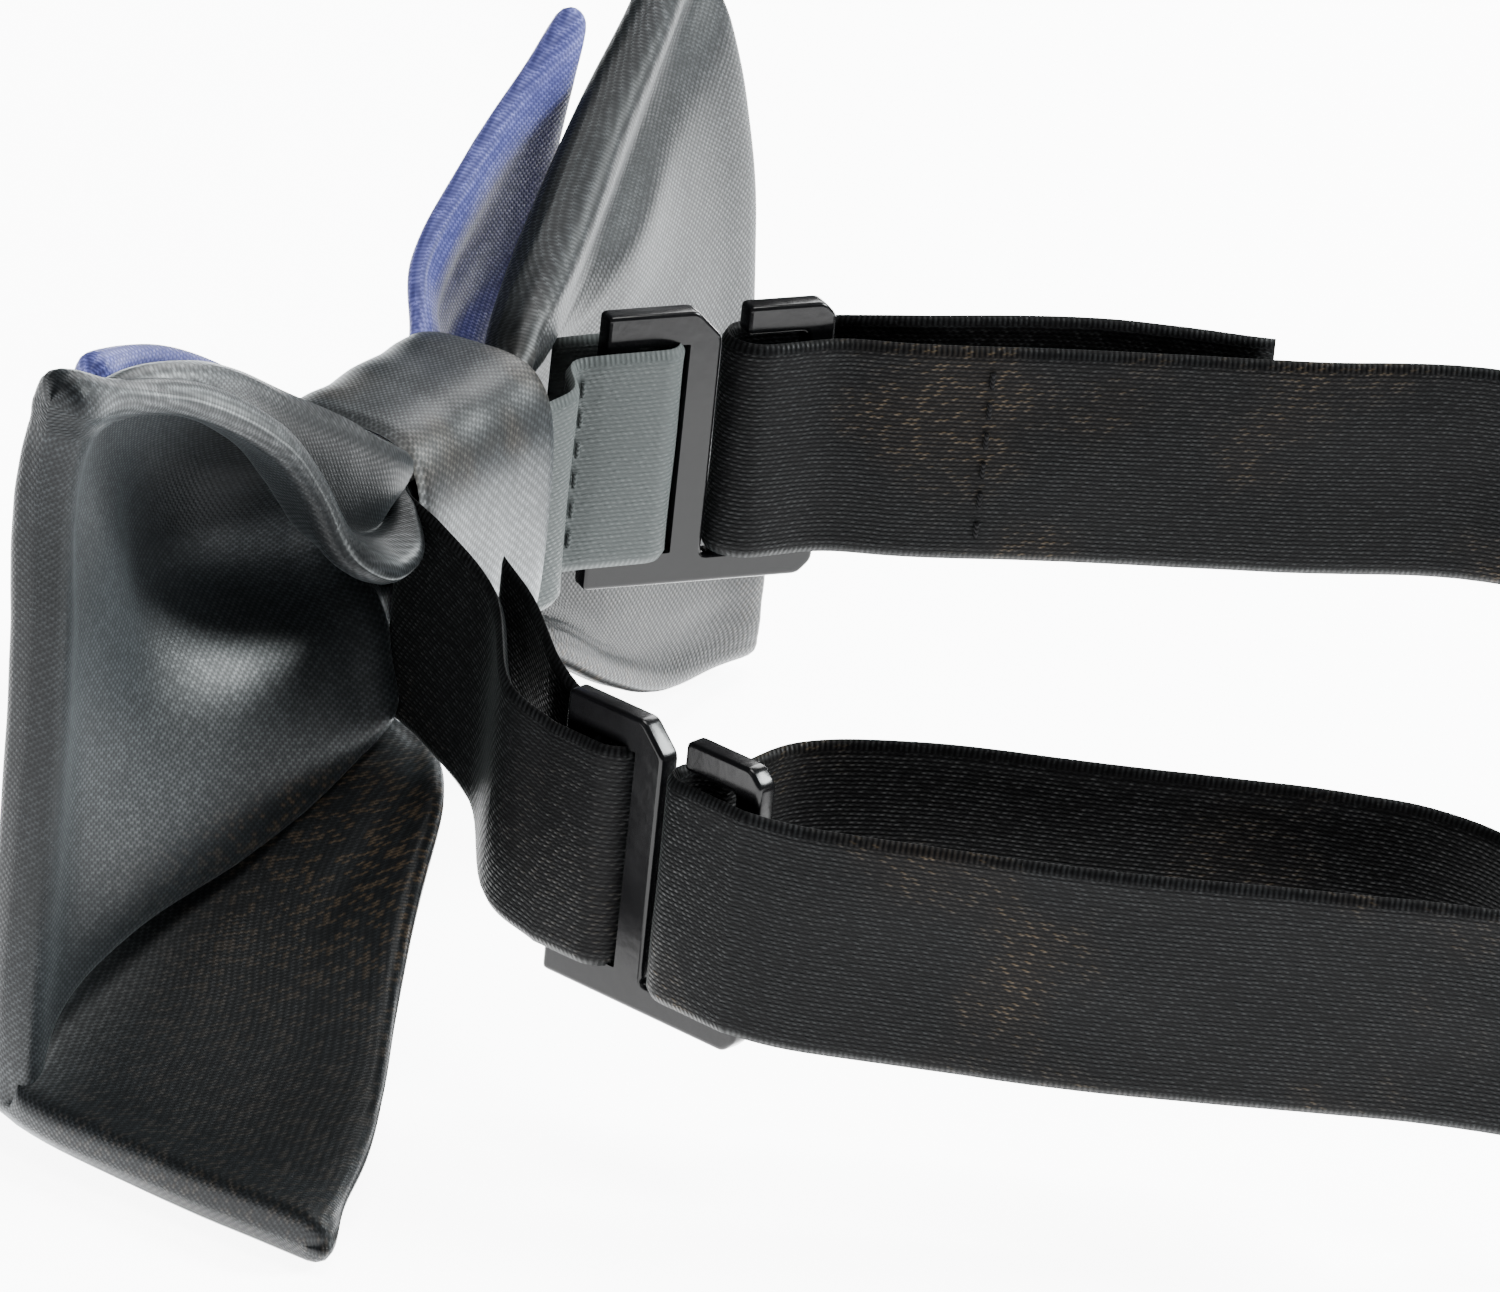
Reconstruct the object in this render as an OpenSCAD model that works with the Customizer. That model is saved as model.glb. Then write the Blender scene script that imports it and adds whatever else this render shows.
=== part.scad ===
// Pre-tied two-layer bow tie on a hooked ribbon neckband.
// X runs along the bow, +Z is up and the wearer's neck is towards +Y.
// The origin is the centre of the knot's flat back face.

/* [Knot] */
// Length of the centre wrap along the bow
knot_w = 22; // [18:1:28]
// Height of the folds where the wrap holds them
waist_h = 23; // [18:1:28]
// Depth of the black back bow inside the wrap
back_waist_d = 6; // [4.5:0.5:8]
// Depth of the navy front bow inside the wrap
front_waist_d = 5.5; // [4.5:0.5:8]
// Thickness of the doubled satin of the wrap
wrap_t = 1.0; // [0.8:0.1:1.6]
// Thickness of the stiffening inside the wrap
wrap_lining_t = 0.5; // [0.3:0.1:0.8]
// Diameter of the thread wound around the folds
thread_d = 0.5; // [0.3:0.1:0.7]
// Turns of thread around the folds
thread_turns = 5; // [3:1:8]

/* [Bows] */
// Half width of the black back bow
back_half_w = 60; // [50:1:75]
// Half height of the black back bow
back_half_h = 32; // [24:1:40]
// Half width of the navy front bow
front_half_w = 42; // [34:1:48]
// Half height of the navy front bow
front_half_h = 29; // [22:1:34]
// How far the near wing's lower fold reaches back
fold_reach = 31; // [10:1:36]
// Width of the seamed edge around a bow's hollow inside
seam_w = 0.9; // [0.6:0.1:1.2]
// Thickness of the stiffening inside a bow
lining_t = 0.6; // [0.3:0.1:1]
// Play around the stiffening inside a bow
lining_play = 0.2; // [0.1:0.05:0.3]

/* [Ribbon] */
// Width of the satin ribbon
ribbon_w = 19; // [15:0.5:24]
// Thickness of the satin ribbon
ribbon_t = 0.8; // [0.5:0.1:1]
// Diameter of the sewing thread
stitch_d = 0.4; // [0.3:0.1:0.6]
// Sewing stitches across the ribbon
stitch_count = 6; // [4:1:9]

/* [Hooks] */
// Width of a hook's bars
bar_w = 2.5; // [2:0.1:3.5]
// Thickness of a hook
hook_t = 2.0; // [1.6:0.1:2.6]
// Width of the slot that the sewn tab fills
tab_slot_w = 5.4; // [5:0.1:8]
// Width of the open slot that takes the neckband
band_slot_w = 7.7; // [7:0.1:10]
// Width of the slit that lets the neckband in
slit_w = 2.2; // [2.1:0.1:3]
// Play between the ribbon's edges and the slot's ends
edge_play = 0.15; // [0.1:0.05:0.5]
// Size of the cut corners of a hook
corner_cut = 2.4; // [1:0.1:2.4]

/* [Hidden] */

ply_gap = 0.1;      // between one layer of the knot and the next
swing_gap = 0.2;    // between a tab and the bar that turns in it
black = [0.11, 0.13, 0.13];
navy = [0.16, 0.17, 0.36];
canvas = [0.85, 0.84, 0.8];

// ---- layers of the knot, counted from its back face towards the front ----
lining_y = -wrap_t - ply_gap;
ribbon_y = lining_y - wrap_lining_t - ply_gap;
thread_back_y = ribbon_y - ribbon_t - ply_gap;
back_y = thread_back_y - thread_d - ply_gap;
front_y = back_y - back_waist_d - ply_gap;
thread_front_y = front_y - front_waist_d - ply_gap;
lining_front_y = thread_front_y - thread_d - ply_gap;
wrap_front_y = lining_front_y - wrap_lining_t - ply_gap;
back_mid_y = back_y - back_waist_d / 2;
front_mid_y = front_y - front_waist_d / 2;
thread_half_h = waist_h / 2 + ply_gap;
lining_half_h = thread_half_h + thread_d + ply_gap;
wrap_half_h = lining_half_h + wrap_lining_t + ply_gap;

// ---- hooks ----
hook_h = ribbon_w + 2 * edge_play + 2 * bar_w;
hook_w = 3 * bar_w + tab_slot_w + band_slot_w;
band_slot_s = 2 * bar_w + tab_slot_w;      // where the open slot starts
slit_s = band_slot_s + slit_w / 2;         // middle of the slit
near_yaw = 76;
far_yaw = 142;
near_z = -9.25;
far_z = 1.5;
near_at = [23.5, 20.8];
far_at = [-22.5, -3.2];
tab_r = norm([bar_w, hook_t]) / 2 + swing_gap + ribbon_t / 2;
band_r = hook_t / 2 + 1.2 + ribbon_t / 2;
// The tab's turn stands past its bar and nearly fills the slot
tab_turn_s = bar_w + tab_slot_w - tab_r - ribbon_t / 2 - 0.65;

// ---- folded sheets: a fold line of four points at each station ----
function unit(v) = v / norm(v);
function side(p, i) =
  let (a = p[max(i - 1, 0)], b = p[min(i + 1, 3)])
  unit([0, a[2] - b[2], b[1] - a[1]]);
function drawn_in(p, d) =
  [p[0] + d * unit(p[1] - p[0]), p[1], p[2], p[3] + d * unit(p[2] - p[3])];
function ring(p, t) = concat(
  [for (i = [0:3]) p[i] - side(p, i) * t / 2],
  [for (i = [3:-1:0]) p[i] + side(p, i) * t / 2]
);
// Joins rings of n points, all turning the same way, into one closed solid.
module skin(rings) {
  n = len(rings[0]);
  last = len(rings) - 1;
  walls = [
    for (k = [0:last - 1], i = [0:n - 1])
      let (j = (i + 1) % n)
      each [[k * n + i, (k + 1) * n + i, k * n + j], [k * n + j, (k + 1) * n + i, (k + 1) * n + j]]
  ];
  half = n / 2;
  ends = [
    for (k = [0, last], i = [0:half - 2])
      let (a = k * n + i, b = a + 1, c = k * n + n - 2 - i, d = c + 1)
      each (k == 0 ? [[a, b, d], [b, c, d]] : [[a, d, b], [b, d, c]])
  ];
  polyhedron(points = [for (r = rings) each r], faces = concat(walls, ends));
}

// Each station is [thickness, fold line from the top edge to the bottom edge].
function upright(x, y, h, t) =
  [t, [[x, y, h], [x, y, h / 3], [x, y, -h / 3], [x, y, -h]]];
far_tab_clear_y = far(-3.5, tab_r)[1] - ribbon_t / 2 - 2.6;  // folds pressed forward by the tab
back_stations = let (w = back_half_w, h = back_half_h, f = fold_reach, k = knot_w / 2) [
  [3.2, [[-w, -18.5, h], [-w - 1, -12, 6], [-w - 2, -9, -16], [-w - 4, -9, 1 - h]]],
  [4.0, [[-w * 0.8, -16, h * 0.88], [-w * 0.8, -11.5, 6], [-w * 0.8, -9.5, -14], [-w * 0.8, -9.5, 4 - h]]],
  [5.0, [[-w * 0.5, -12.5, h * 0.62], [-w * 0.5, -10.5, 5], [-w * 0.5, -10.5, -8], [-w * 0.5, -10.5, -h * 0.6]]],
  upright(-k - 10, far_tab_clear_y, waist_h * 0.62, 4.6),
  upright(-k, back_mid_y, waist_h / 2, back_waist_d),
  upright(k, back_mid_y, waist_h / 2, back_waist_d),
  [5.0, [[w * 0.45, -10, h * 0.56], [w * 0.45, -10, 5], [w * 0.45, -11, -9], [w * 0.45, f * 0.1 - 8, -h * 0.56]]],
  [4.0, [[w * 0.75, -10, h * 0.8], [w * 0.75, -10.5, 5], [w * 0.75, -12, -20], [w * 0.8, f * 0.5 - 8, 5 - h]]],
  [3.2, [[w - 1, -9.5, h - 2], [w - 2, -10.5, 2], [w - 4, -11, 3 - h], [w, f - 10, 0.3 - h]]]
];
front_stations = let (w = front_half_w, h = front_half_h, k = knot_w / 2) [
  [3.0, [[2 - w, -22, h + 1], [1 - w, -19, 8], [1 - w, -16.5, -8], [2 - w, -16, 2 - h]]],
  [4.0, [[-w * 0.6, -18, h * 0.75], [-w * 0.6, -16.5, 6], [-w * 0.6, -16, -7], [-w * 0.6, -16, -h * 0.7]]],
  upright(-k, front_mid_y, waist_h / 2, front_waist_d),
  upright(k, front_mid_y, waist_h / 2, front_waist_d),
  [4.0, [[w * 0.6, -16, h * 0.72], [w * 0.6, -16, 6], [w * 0.6, -17, -7], [w * 0.6, -17.5, -h * 0.7]]],
  [3.0, [[w, -16.5, h - 1], [w + 1, -16.5, 8], [w + 1, -18, -8], [w, -18.5, 2 - h]]]
];
// Moves the two end stations towards the knot by d.
function shortened(st, d) = let (last = len(st) - 1) [
  for (i = [0:last])
    let (push = i == 0 ? d : i == last ? -d : 0)
    [st[i][0], [for (p = st[i][1]) p + [push, 0, 0]]]
];
module sheet_inside(st, edge, t)
  skin([for (s = shortened(st, edge)) ring(drawn_in(s[1], edge), t)]);
// The gap through which a sewn tube is turned right side out opens its hollow
// to the back, where the wrap covers it.
module folded_tube(st, back_y, depth) {
  gap = [8, depth / 2 + 1, 5];
  difference() {
    skin([for (s = st) ring(s[1], s[0])]);
    sheet_inside(st, seam_w, lining_t + 2 * lining_play);
    translate([-gap[0] / 2, back_y - depth / 2, -gap[2] / 2]) cube(gap);
  }
}
module folded_lining(st) sheet_inside(st, seam_w + 2 * lining_play, lining_t);

module back_bow() color(black) folded_tube(back_stations, back_y, back_waist_d);
module back_bow_interlining() color(canvas) folded_lining(back_stations);
module front_bow() color(navy) folded_tube(front_stations, front_y, front_waist_d);
module front_bow_interlining() color(canvas) folded_lining(front_stations);

// ---- rings around the waist ----
// A rectangular sleeve along X, from y0 back to y1 forward, with a wall t.
module sleeve(length, y0, y1, half_h, t) {
  rotate([90, 0, 90]) linear_extrude(length, center = true) difference() {
    translate([y1 - t, -half_h - t]) square([y0 - y1 + 2 * t, 2 * (half_h + t)]);
    translate([y1, -half_h]) square([y0 - y1, 2 * half_h]);
  }
}
module waist_thread() color(black) {
  pitch = (knot_w - 6) / (thread_turns - 1);
  for (i = [0:thread_turns - 1])
    translate([-(knot_w - 6) / 2 + i * pitch, 0, 0])
      sleeve(thread_d, thread_back_y - thread_d, thread_front_y, thread_half_h, thread_d);
}
module wrap_interlining() color(canvas)
  sleeve(knot_w - 1, lining_y - wrap_lining_t, lining_front_y, lining_half_h, wrap_lining_t);
module centre_wrap() color(black)
  sleeve(knot_w, -wrap_t, wrap_front_y, wrap_half_h, wrap_t);
// Closing stitches across the wrap's lap at the underside of the knot.
module wrap_stitches() color(black)
  for (i = [0:stitch_count - 1])
    translate([-knot_w / 2 + knot_w * (i + 0.5) / stitch_count - 1, -wrap_t - 4,
               -wrap_half_h - wrap_t - stitch_d / 2 - 0.02])
      rotate([0, 90, 20]) cylinder(d = stitch_d, h = 2, $fn = 24);

// ---- ribbons: a flat strip swept along its middle line ----
function curve(p, i, t) =
  let (a = p[max(i - 1, 0)], b = p[i], c = p[i + 1], d = p[min(i + 2, len(p) - 1)])
  0.5 * (2 * b + (c - a) * t + (2 * a - 5 * b + 4 * c - d) * t * t
         + (3 * b - a - 3 * c + d) * t * t * t);
function smooth(p, n) = concat(
  [for (i = [0:len(p) - 2], k = [0:n - 1]) curve(p, i, k / n)], [p[len(p) - 1]]
);
module strip(path) {
  last = len(path) - 1;
  skin([
    for (i = [0:last])
      let (q = path[min(i + 1, last)] - path[max(i - 1, 0)],
           m = unit([-q[1], q[0], 0]) * ribbon_t / 2, z = [0, 0, ribbon_w / 2])
      [path[i] + m + z, path[i] - m + z, path[i] - m - z, path[i] + m - z]
  ]);
}
// A point of a hook: s along it from its tab end, off from its middle plane.
function on_hook(at, yaw, s, off, z) =
  [at[0] + s * cos(yaw) - off * sin(yaw), at[1] + s * sin(yaw) + off * cos(yaw), z];
function near(s, off, z = near_z) = on_hook(near_at, near_yaw, s, off, z);
function far(s, off, z = far_z) = on_hook(far_at, far_yaw, s, off, z);

// Half turns of the ribbon around the tab bar and through the slit.
near_tab_turn = [for (a = [-90:22.5:90]) near(tab_turn_s + tab_r * cos(a), tab_r * sin(a))];
far_tab_turn = [for (a = [90:-22.5:-90]) far(tab_turn_s + tab_r * cos(a), tab_r * sin(a))];
near_band_turn = [for (a = [90:-18:-90]) near(slit_s + band_r - band_r * cos(a), band_r * sin(a))];
far_band_turn = [for (a = [-90:18:90]) far(slit_s + band_r - band_r * cos(a), band_r * sin(a))];

inside_y = ribbon_y - ribbon_t / 2;
knot_end = knot_w / 2;
// From the turned-under end beside the knot, round the near hook, through the
// knot and round the far hook.
hook_ribbon_path = concat(
  smooth([[15.2, 11.3, -1.6], [17, 14.2, -4], near(-4, tab_r + 0.2), near(0, tab_r)], 3),
  [for (i = [len(near_tab_turn) - 1:-1:0]) near_tab_turn[i]],
  smooth([near(0, -tab_r), near(-5, -tab_r, near_z + 1.5), [17.5, 9.6, -3.6], [14.6, 3, -0.8],
          [knot_end + 0.6, inside_y, 0], [knot_end - 3, inside_y, 0]], 3),
  smooth([[3 - knot_end, inside_y, 0], [-knot_end - 0.6, inside_y, 0],
          [-knot_end - 4, inside_y + 0.5, 0.4], far(-3.5, -tab_r, far_z - 0.4), far(0, -tab_r)], 3),
  [for (i = [len(far_tab_turn) - 1:-1:0]) far_tab_turn[i]],
  [far(0, tab_r), far(-3.5, tab_r - 0.3)]
);
module hook_ribbon() color(black) strip(hook_ribbon_path);

// The free run of the neckband outside the hooks.
near_outer = [[29.2, 44, -10], [24.4, 55, -10.4], [19.8, 66, -10.5], [12.6, 80, -10.5], [4.6, 94, -11]];
rear_run = [[-5, 108, -14], [-17, 121.5, -19], [-34, 131, -23.4], [-54, 133.5, -23.4],
            [-71, 126, -22.4], [-81.5, 110, -16], [-84, 92, -9], [-78.5, 74, -2]];
far_inner = [[-69.3, 57.2, 1.3], [-58.9, 43.2, 1.5], [-48.9, 28.4, 1.5], [-40.5, 17, 1.5]];
near_inner = [[1.2, 97.2, -10], [-4.8, 91, -9.5], [-4.9, 83.5, -8.8], [-1.6, 76, -8.2],
              [6.4, 59, -8], [11.8, 46, -8.2], [17.2, 37.5, -8.8]];
far_tail = [[-42.8, 14.2, 2.6], [-52.6, 26.8, 2.8], [-60.6, 39.6, 2]];
neck_band_path = concat(
  smooth(concat(near_inner, [near(slit_s + band_r, band_r)]), 3),
  [for (i = [1:len(near_band_turn) - 1]) near_band_turn[i]],
  smooth(concat([near(hook_w, -band_r)], near_outer, rear_run, far_inner,
                [far(hook_w, -band_r), far(slit_s + band_r, -band_r)]), 3),
  [for (i = [1:len(far_band_turn) - 1]) far_band_turn[i]],
  smooth(concat([far(hook_w, band_r)], far_tail), 3)
);
module neck_band() color(black) strip(neck_band_path);

// A column of short stitches in a ribbon's face, one above the other.
module stitch_column(at, yaw, off) {
  span = ribbon_w - 3;
  for (i = [0:stitch_count - 1])
    translate(at + [0, 0, -span / 2 + span * (i + 0.25) / stitch_count])
      rotate([0, 0, yaw]) translate([0, off, 0])
        cylinder(d = stitch_d, h = span / stitch_count / 2, $fn = 24);
}
face_off = ribbon_t / 2;
module near_tab_stitches() color(black) stitch_column(near(-4, -tab_r), near_yaw, -face_off);
module far_tab_stitches() color(black) stitch_column(far(-2.5, -tab_r), far_yaw, -face_off);

// Bar positions are measured along the hook from its tab end.
module hook(at, yaw, z) color([0.06, 0.06, 0.065])
  translate([at[0], at[1], z]) rotate([90, 0, yaw])
    linear_extrude(hook_t, center = true) difference() {
      translate([0, -hook_h / 2]) polygon([
        [0, 0], [hook_w - corner_cut / 2, 0], [hook_w, corner_cut / 2],
        [hook_w, hook_h - corner_cut / 2], [hook_w - corner_cut / 2, hook_h],
        [band_slot_s, hook_h], [band_slot_s, hook_h - corner_cut],
        [band_slot_s - corner_cut, hook_h], [0, hook_h]
      ]);
      opening_h = hook_h - 2 * bar_w;
      translate([bar_w, -opening_h / 2]) square([tab_slot_w, opening_h]);
      translate([band_slot_s, -opening_h / 2]) square([band_slot_w, opening_h]);
      translate([band_slot_s, 0]) square([slit_w, hook_h]);
    }
module near_hook() hook(near_at, near_yaw, near_z);
module far_hook() hook(far_at, far_yaw, far_z);

module near_loop_stitches() color(black) stitch_column([-0.6, 94.2, -10.2], 120, 0);
module band_seam_stitches() color(black) stitch_column([-6.4, 83, -8.9], 106, 0);
module far_loop_stitches() color(black) stitch_column([-43.6, 22.3, 1.5], 126, 0);

back_bow();
back_bow_interlining();
front_bow();
front_bow_interlining();
waist_thread();
centre_wrap();
wrap_interlining();
wrap_stitches();
hook_ribbon();
near_tab_stitches();
far_tab_stitches();
near_hook();
far_hook();
neck_band();
near_loop_stitches();
band_seam_stitches();
far_loop_stitches();
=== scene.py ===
import bpy
from math import cos, pi, radians, sin

import numpy as np
from mathutils import Matrix, Vector, noise


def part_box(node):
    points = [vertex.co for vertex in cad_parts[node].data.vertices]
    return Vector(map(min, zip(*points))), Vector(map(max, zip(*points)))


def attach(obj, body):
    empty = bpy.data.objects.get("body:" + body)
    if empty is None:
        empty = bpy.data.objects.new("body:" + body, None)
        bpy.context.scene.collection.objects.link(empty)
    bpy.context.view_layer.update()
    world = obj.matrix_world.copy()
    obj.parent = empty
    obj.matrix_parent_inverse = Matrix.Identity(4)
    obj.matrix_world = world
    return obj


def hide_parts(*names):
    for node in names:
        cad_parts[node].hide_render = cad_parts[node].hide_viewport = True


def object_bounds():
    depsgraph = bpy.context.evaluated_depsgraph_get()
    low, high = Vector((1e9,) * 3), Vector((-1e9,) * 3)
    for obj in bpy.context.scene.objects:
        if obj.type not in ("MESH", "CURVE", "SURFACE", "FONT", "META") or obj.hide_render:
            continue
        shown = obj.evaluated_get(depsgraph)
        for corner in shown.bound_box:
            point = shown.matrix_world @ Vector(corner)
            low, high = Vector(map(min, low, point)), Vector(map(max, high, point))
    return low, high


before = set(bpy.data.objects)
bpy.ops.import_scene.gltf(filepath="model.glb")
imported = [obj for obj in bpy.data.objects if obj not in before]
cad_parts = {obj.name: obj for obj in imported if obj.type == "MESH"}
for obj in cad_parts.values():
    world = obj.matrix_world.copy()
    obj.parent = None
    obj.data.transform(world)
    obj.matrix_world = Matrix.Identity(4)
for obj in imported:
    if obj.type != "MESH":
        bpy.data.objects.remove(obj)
cad_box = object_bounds()
MM = 0.001

# ---- Viewpoint ----
# From behind the bow and past its near wing, a little above it, as the tie
# lies on a table with its neckband towards the viewer.
azimuth, elevation, roll = radians(116), radians(23), radians(6)
towards = Vector((sin(azimuth) * cos(elevation), -cos(azimuth) * cos(elevation), sin(elevation)))
level = Vector((cos(azimuth), sin(azimuth), 0))
upright = towards.cross(level)
right = level * cos(roll) + upright * sin(roll)
above = upright * cos(roll) - level * sin(roll)
camera_data = bpy.data.cameras.new("camera")
camera_data.lens = 357.1
camera_data.sensor_width = 36
camera = bpy.data.objects.new("camera", camera_data)
camera.matrix_world = Matrix((right, above, towards)).transposed().to_4x4()
camera.location = towards * 1.2 + right * 0.02097 - above * 0.00694
bpy.context.collection.objects.link(camera)
bpy.context.scene.camera = camera


# ---- Table and light ----
# A plain white table that glows softly, in a dim room. The strongest light
# stands behind the neckband; weaker ones are overhead, beyond the far wing and
# beside the near wing.
class Value:
    """A shader value that takes part in Python arithmetic by adding Math nodes."""

    def __init__(self, finish, socket):
        self.finish, self.socket = finish, socket

    def with_other(self, operation, a, b=0.0):
        return self.finish.node("ShaderNodeMath", {"operation": operation}, {0: a, 1: b})

    def __add__(self, other): return self.with_other("ADD", self, other)
    def __radd__(self, other): return self.with_other("ADD", other, self)
    def __sub__(self, other): return self.with_other("SUBTRACT", self, other)
    def __rsub__(self, other): return self.with_other("SUBTRACT", other, self)
    def __mul__(self, other): return self.with_other("MULTIPLY", self, other)
    def __rmul__(self, other): return self.with_other("MULTIPLY", other, self)
    def __truediv__(self, other): return self.with_other("DIVIDE", self, other)
    def __pow__(self, other): return self.with_other("POWER", self, other)
    def wave(self): return self.with_other("COSINE", self * (2 * pi)) * 0.5 + 0.5
    def whole(self): return self.with_other("FLOOR", self)
    def most(self, other): return self.with_other("MAXIMUM", self, other)
    def over(self, limit): return self.with_other("GREATER_THAN", self, limit)


class Finish:
    """A material whose nodes are added one call at a time."""

    def __init__(self, name, **uniform):
        self.material = bpy.data.materials.new(name)
        self.material.use_nodes = True
        self.tree = self.material.node_tree
        self.surface = self.tree.nodes["Principled BSDF"]
        for key, value in uniform.items():
            label = key.replace("_", " ").title().replace("Ior", "IOR")
            self.surface.inputs[label].default_value = value

    def node(self, kind, settings, inputs, output=0):
        made = self.tree.nodes.new(kind)
        for key, value in settings.items():
            setattr(made, key, value)
        for key, value in inputs.items():
            self.link(value, made.inputs[key])
        return Value(self, made.outputs[output])

    def link(self, value, socket):
        if isinstance(value, Value):
            self.tree.links.new(value.socket, socket)
        else:
            socket.default_value = value

    def noise(self, place, scale, detail=2.0):
        return self.node("ShaderNodeTexNoise", {}, {"Vector": place, "Scale": scale, "Detail": detail})

    def place(self):
        return self.node("ShaderNodeTexCoord", {}, {}, "Object")

    def blend(self, amount, dark, light):
        """Between two colours; amount 0 is the first."""
        return self.node("ShaderNodeMix", {"data_type": "RGBA", "clamp_factor": True},
                         {0: amount, 6: (*dark, 1) if isinstance(dark, tuple) else dark,
                          7: (*light, 1) if isinstance(light, tuple) else light}, 2)

    def smooth(self, value, low, high):
        return self.node("ShaderNodeMapRange", {"interpolation_type": "SMOOTHSTEP"},
                         {0: value, 1: low, 2: high, 3: 0.0, 4: 1.0})

    def bump(self, height, depth):
        made = self.node("ShaderNodeBump", {}, {"Height": height, "Distance": depth})
        self.link(made, self.surface.inputs["Normal"])


table_paint = Finish("table_paint", roughness=0.75)
table_grain = table_paint.noise(table_paint.place(), 60.0)
table_paint.link(table_paint.blend(table_grain, (0.88, 0.88, 0.89), (0.92, 0.92, 0.92)),
                 table_paint.surface.inputs["Base Color"])
table_paint.surface.inputs["Emission Color"].default_value = (1, 1, 1, 1)
table_paint.surface.inputs["Emission Strength"].default_value = 8.0
table_z = cad_box[0][2] - 0.0004
bpy.ops.mesh.primitive_plane_add(size=12, location=(0, 0, table_z))
table = bpy.context.object
table.name = "table"
table.data.materials.append(table_paint.material)

room = bpy.data.worlds.new("room")
bpy.context.scene.world = room
room.use_nodes = True
room.node_tree.nodes["Background"].inputs["Color"].default_value = (0.95, 0.98, 1.0, 1)
room.node_tree.nodes["Background"].inputs["Strength"].default_value = 0.12


def softbox(name, place, aim, size, power, colour):
    data = bpy.data.lights.new(name, "AREA")
    data.size, data.energy, data.color = size, power, colour
    lamp = bpy.data.objects.new(name, data)
    lamp.location = place
    lamp.rotation_euler = (Vector(place) - Vector(aim)).to_track_quat("Z", "Y").to_euler()
    bpy.context.collection.objects.link(lamp)


# Each light's name, place, aim, size in metres, power in watts and colour.
softbox("nape_light", (-0.56, 0.7, 0.58), (0.01, 0, 0), 0.34, 42.0, (0.95, 1, 1))
softbox("overhead_light", (-0.1, 0.1, 0.9), (0, 0, 0), 0.4, 12.0, (1, 1, 0.98))
softbox("far_light", (-0.82, -0.1, 0.55), (0, 0, 0), 0.4, 9.0, (1, 1, 1))
softbox("wing_light", (0.85, -0.25, 0.6), (0.02, 0, 0), 0.4, 1.5, (1, 0.98, 0.96))


# ---- Black back bow ----
# A flat tube of black satin on felt, drawn together at its middle. The near
# wing's top rolls over towards the neck, and its lower part is folded back
# under the upper panel.
def spline(points, steps):
    """Centripetal curve through the points of axis 0, with steps points to each gap."""
    points = np.asarray(points, float)
    padded = np.concatenate([[2 * points[0] - points[1]], points, [2 * points[-1] - points[-2]]])
    gaps = np.maximum(np.linalg.norm(np.diff(padded, axis=0), axis=-1, keepdims=True), 1e-4) ** 0.5
    out = []
    for i in range(len(points) - 1):
        a, b, c, d = padded[i:i + 4]
        t1, t2, t3 = gaps[i], gaps[i] + gaps[i + 1], gaps[i] + gaps[i + 1] + gaps[i + 2]
        for k in range(steps):
            t = t1 + (t2 - t1) * k / steps
            ab = a + (b - a) * t / t1
            bc = b + (c - b) * (t - t1) / (t2 - t1)
            cd = c + (d - c) * (t - t2) / (t3 - t2)
            abc = ab + (bc - ab) * t / t2
            bcd = bc + (cd - bc) * (t - t1) / (t3 - t1)
            out.append(abc + (bcd - abc) * (t - t1) / (t2 - t1))
    return np.array(out + [points[-1]])


def unit(vectors):
    return vectors / np.maximum(np.linalg.norm(vectors, axis=-1, keepdims=True), 1e-9)


def run_length(grid, axis):
    """Distance along the sheet from its first row, in mm."""
    gaps = np.linalg.norm(np.diff(grid, axis=axis), axis=-1)
    start = np.zeros_like(np.take(gaps, [0], axis=axis))
    return np.concatenate([start, np.cumsum(gaps, axis=axis)], axis=axis)


def skin(name, rings, marks, closed=False):
    """Joins rings of points into one solid; marks are the cloth's own mm at each point."""
    rings, marks = np.array(rings), np.array(marks)
    count, size = rings.shape[:2]
    faces = []
    for k in range(count if closed else count - 1):
        here, there = k * size, (k + 1) % count * size
        faces += [(here + i, there + i, there + (i + 1) % size, here + (i + 1) % size) for i in range(size)]
    if not closed:
        for k in (0, count - 1):
            faces += [(k * size + i, k * size + i + 1, k * size + size - 2 - i, k * size + size - 1 - i)
                      for i in range(size // 2 - 1)]
    mesh = bpy.data.meshes.new(name)
    mesh.from_pydata((rings.reshape(-1, 3) * MM).tolist(), [], faces)
    layer = mesh.uv_layers.new(name="cloth_mm")
    flat = marks.reshape(-1, 2)
    for loop in mesh.loops:
        layer.data[loop.index].uv = flat[loop.vertex_index]
    mesh.shade_smooth()
    piece = bpy.data.objects.new(name, mesh)
    bpy.context.collection.objects.link(piece)
    bpy.context.view_layer.objects.active = piece
    piece.select_set(True)
    bpy.ops.object.mode_set(mode="EDIT")
    bpy.ops.mesh.select_all(action="SELECT")
    bpy.ops.mesh.normals_make_consistent(inside=False)
    bpy.ops.object.mode_set(mode="OBJECT")
    piece.select_set(False)
    return piece


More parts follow.
